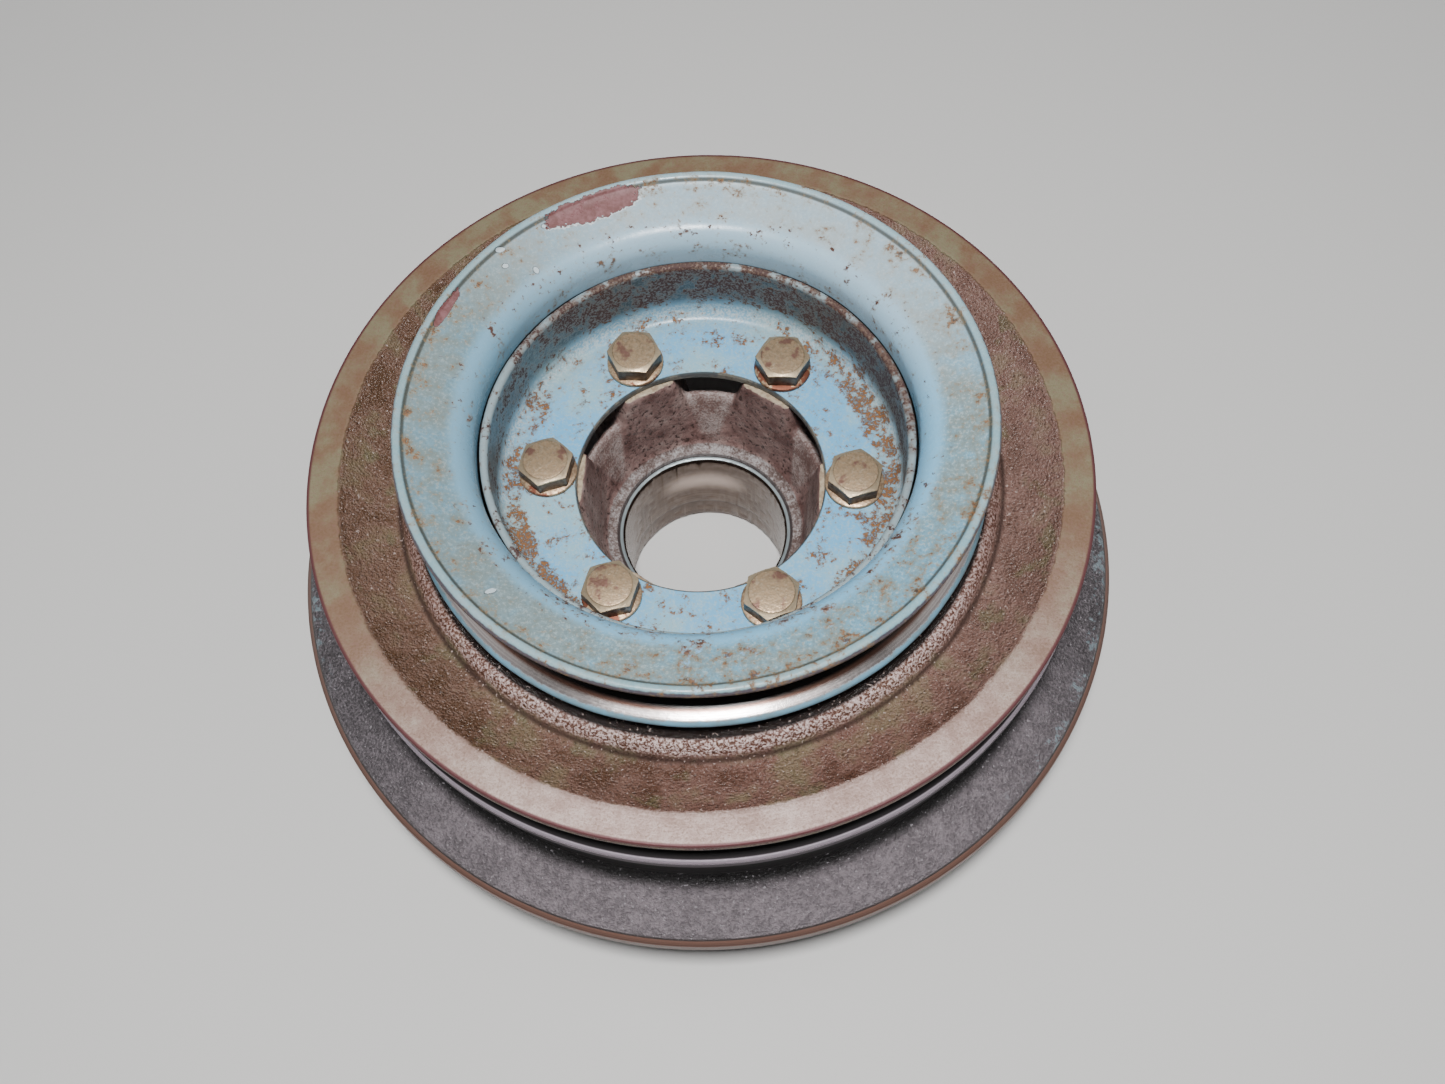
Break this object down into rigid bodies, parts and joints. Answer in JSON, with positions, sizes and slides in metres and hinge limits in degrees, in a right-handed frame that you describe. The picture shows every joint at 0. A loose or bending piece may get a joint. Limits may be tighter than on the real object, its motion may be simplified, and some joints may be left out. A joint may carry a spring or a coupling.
{
  "type": "v belt pulley",
  "caption": "Stacked crankshaft V-belt pulley: cast hub with arms, grooved rim and rear disc, with a pressed-steel single-groove pulley bolted to its front.",
  "frame": {"origin": "centre of the crank bore in the hub's rear face, which is also the lowest plane", "axes": "+Z along the bore axis, from the engine side towards the bolt heads; +X through the first bolt; the keyway is on the -Y side"},
  "size_m": [0.1768, 0.1768, 0.077],
  "materials": {
    "casting": "rough cast, oiled and lightly rusted, with machined bands",
    "cup_paint": "light blue enamel on pressed steel, rusted at the bend",
    "front_paint": "faded blue enamel on pressed steel, chipped and rust-freckled",
    "rear_paint": "blue enamel, with the belt flank worn to bare steel",
    "zinc_bolt": "yellow zinc plate, dull and stained",
    "zinc_washer": "yellow zinc plate, rust-stained"
  },
  "bodies": {
    "root": {"pulley_casting": "casting", "mounting_cup": "cup_paint", "front_sheave_half": "front_paint", "rear_sheave_half": "rear_paint", "washer_1": "zinc_washer", "washer_2": "zinc_washer", "washer_3": "zinc_washer", "washer_4": "zinc_washer", "washer_5": "zinc_washer", "washer_6": "zinc_washer", "bolt_1": "zinc_bolt", "bolt_2": "zinc_bolt", "bolt_3": "zinc_bolt", "bolt_4": "zinc_bolt", "bolt_5": "zinc_bolt", "bolt_6": "zinc_bolt"}
  },
  "joints": []
}
